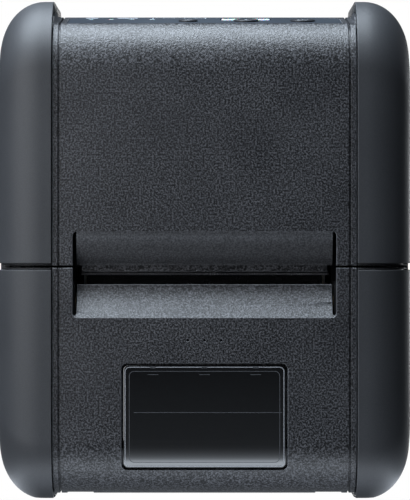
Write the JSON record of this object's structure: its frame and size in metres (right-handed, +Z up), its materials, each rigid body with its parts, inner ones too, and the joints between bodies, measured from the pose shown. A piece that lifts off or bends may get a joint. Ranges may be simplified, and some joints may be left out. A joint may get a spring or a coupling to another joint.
{
  "type": "mobile receipt printer",
  "caption": "Upright battery receipt printer with a hinged lower roll cover, smoked roll window, rubber end bumpers, sloped key panel and a gear-driven platen.",
  "frame": {"origin": "on the ground under the middle of the printer, as it stands upright", "axes": "+X to the printer's own left-to-right as seen from the front, +Y from the paper exit's face to the back, +Z up"},
  "size_m": [0.1, 0.059, 0.1216],
  "materials": {
    "rubber": "smooth matt moulded rubber",
    "shell": "fine spark-eroded texture",
    "battery": "fine texture",
    "inner_plastic": "moulded, satin",
    "panel": "satin film over plastic",
    "key": "satin",
    "light_pipe": "translucent white",
    "circuit_board": "solder-resist coated",
    "spring_steel": "bright",
    "steel": "plated",
    "ceramic": "glazed ceramic",
    "aluminium": "extruded",
    "brass": "turned",
    "gear_plastic": "natural acetal",
    "platen_rubber": "ground silicone rubber",
    "smoked_window": "smoked, polished",
    "flex_film": "polyimide film"
  },
  "bodies": {
    "base": {"guard_left": "rubber", "guard_right": "rubber", "front_shell": "shell", "rear_shell": "shell", "chassis": "inner_plastic", "battery_contacts": "inner_plastic", "port_bezel": "inner_plastic", "dc_socket": "inner_plastic", "operation_panel": "panel", "status_window": "light_pipe", "light_guide": "light_pipe", "key_board": "circuit_board", "main_board": "circuit_board", "tear_bar": "spring_steel", "head_spring_left": "spring_steel", "head_spring_right": "spring_steel", "latch_spring": "spring_steel", "lever_spring": "spring_steel", "idler_pin": "steel", "motor_screw_front": "steel", "motor_screw_back": "steel", "board_screw_1": "steel", "board_screw_2": "steel", "board_screw_3": "steel", "board_screw_4": "steel", "hinge_pin_left": "steel", "hinge_pin_right": "steel", "case_screw_left_1": "steel", "case_screw_left_2": "steel", "case_screw_right_1": "steel", "case_screw_right_2": "steel", "usb_socket": "steel", "wireless_module": "steel", "step_motor": "steel", "print_head": "ceramic", "head_mount": "aluminium", "clip_insert_left": "brass", "clip_insert_right": "brass", "head_flex": "flex_film"},
    "cover": {"cover_shell": "shell", "cover_guard_left": "rubber", "cover_guard_right": "rubber", "platen_carrier": "inner_plastic", "roll_window": "smoked_window", "platen_bush_left": "brass", "platen_bush_right": "brass"},
    "platen": {"platen_roller": "platen_rubber", "platen_shaft": "steel", "platen_gear": "gear_plastic"},
    "idler": {"idler_gear": "gear_plastic"},
    "pinion": {"motor_shaft": "steel", "motor_pinion": "brass"},
    "battery": {"battery_pack": "battery"},
    "battery_catch": {"battery_latch": "key"},
    "lever": {"release_lever": "key"},
    "power_key": {"power_button": "key"},
    "feed_key": {"feed_button": "key"},
    "wireless_key": {"wireless_button": "key"},
    "flap": {"port_flap": "rubber"}
  },
  "joints": [
    {"name": "cover_hinge", "type": "hinge", "parent": "base", "child": "cover", "pos_m": [0, -0.0145, 0.0044], "axis": [1, 0, 0], "range_deg": [0, 85]},
    {"name": "platen_spin", "type": "hinge", "parent": "cover", "child": "platen", "pos_m": [0, -0.019, 0.0475], "axis": [1, 0, 0], "continuous": true},
    {"name": "idler_spin", "type": "hinge", "parent": "base", "child": "idler", "pos_m": [0.035, -0.00621, 0.04701], "axis": [1, 0, 0], "continuous": true},
    {"name": "pinion_spin", "type": "hinge", "parent": "base", "child": "pinion", "pos_m": [0.034, 0.00171, 0.05493], "axis": [1, 0, 0], "continuous": true},
    {"name": "battery_slide", "type": "slide", "parent": "base", "child": "battery", "axis": [0, 1, 0], "range_m": [0, 0.024]},
    {"name": "battery_catch_slide", "type": "slide", "parent": "base", "child": "battery_catch", "axis": [0, 0, -1], "range_m": [0, 0.0025], "stiffness_N_per_m": 500, "deforming": ["latch_spring"]},
    {"name": "lever_slide", "type": "slide", "parent": "base", "child": "lever", "axis": [0, 0, 1], "range_m": [0, 0.004], "stiffness_N_per_m": 600, "deforming": ["lever_spring"]},
    {"name": "power_press", "type": "slide", "parent": "base", "child": "power_key", "axis": [0, 0.1324, -0.9912], "range_m": [0, 0.0006], "stiffness_N_per_m": 1500},
    {"name": "feed_press", "type": "slide", "parent": "base", "child": "feed_key", "axis": [0, 0.1324, -0.9912], "range_m": [0, 0.0006], "stiffness_N_per_m": 1500},
    {"name": "wireless_press", "type": "slide", "parent": "base", "child": "wireless_key", "axis": [0, 0.1324, -0.9912], "range_m": [0, 0.0006], "stiffness_N_per_m": 1500},
    {"name": "flap_hinge", "type": "hinge", "parent": "base", "child": "flap", "pos_m": [0.04875, -0.0039, 0.0872], "axis": [0, 0, 1], "range_deg": [0, 90]}
  ],
  "couplings": [
    {"joint": "idler_spin", "follows": "platen_spin", "ratio": -0.77778},
    {"joint": "pinion_spin", "follows": "platen_spin", "ratio": 1.4}
  ]
}
